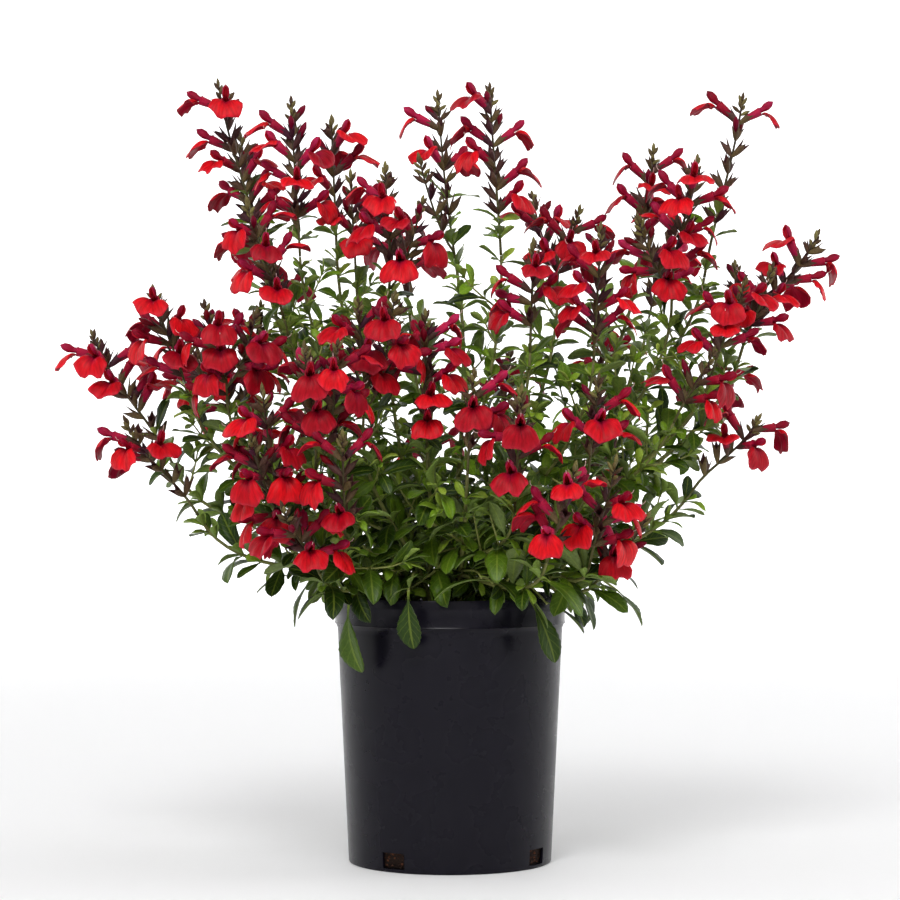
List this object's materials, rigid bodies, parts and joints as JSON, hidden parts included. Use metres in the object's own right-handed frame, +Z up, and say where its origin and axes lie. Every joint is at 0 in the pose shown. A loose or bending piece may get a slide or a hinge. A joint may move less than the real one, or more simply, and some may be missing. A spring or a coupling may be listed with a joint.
{
  "type": "potted perennial salvia",
  "caption": "Bushy red-flowered sage in a round plastic nursery pot: forked leafy stems that arch outwards and end in loose spikes of two-lipped flowers.",
  "frame": {"origin": "middle of the flat underside of the pot", "axes": "+Z up along the pot's axis, -Y towards the plant's front, +X to the right as seen from the front"},
  "size_m": [0.5672, 0.4275, 0.5729],
  "materials": {
    "pot_plastic": "injection-moulded black polypropylene with a low satin gloss",
    "potting_mix": "crumbly brown peat and bark mix",
    "foliage": "soft matt green leaves on green to purple-brown stems",
    "bloom": "velvety scarlet petals with magenta tubes and dark calyces"
  },
  "bodies": {
    "root": {"pot": "pot_plastic", "soil": "potting_mix", "shoot_01": "foliage", "shoot_02": "foliage", "shoot_03": "foliage", "shoot_04": "foliage", "shoot_05": "foliage", "shoot_06": "foliage", "shoot_07": "foliage", "shoot_08": "foliage", "shoot_09": "foliage", "shoot_10": "foliage", "shoot_11": "foliage", "shoot_12": "foliage", "shoot_13": "foliage", "shoot_14": "foliage", "spike_01": "bloom", "spike_02": "bloom", "spike_03": "bloom", "spike_04": "bloom", "spike_05": "bloom", "spike_06": "bloom", "spike_07": "bloom", "spike_08": "bloom", "spike_09": "bloom", "spike_10": "bloom", "spike_11": "bloom", "spike_12": "bloom", "spike_13": "bloom", "spike_14": "bloom", "spike_15": "bloom", "spike_16": "bloom", "spike_17": "bloom", "spike_18": "bloom", "spike_19": "bloom", "spike_20": "bloom", "spike_21": "bloom", "spike_22": "bloom", "spike_23": "bloom", "spike_24": "bloom", "spike_25": "bloom", "spike_26": "bloom", "spike_27": "bloom", "spike_28": "bloom", "spike_29": "bloom", "spike_30": "bloom", "spike_31": "bloom", "spike_32": "bloom", "spike_33": "bloom", "spike_34": "bloom", "spike_35": "bloom", "spike_36": "bloom", "spike_37": "bloom", "spike_38": "bloom", "spike_39": "bloom", "spike_40": "bloom", "spike_41": "bloom", "spike_42": "bloom", "spike_43": "bloom", "spike_44": "bloom"}
  },
  "joints": []
}
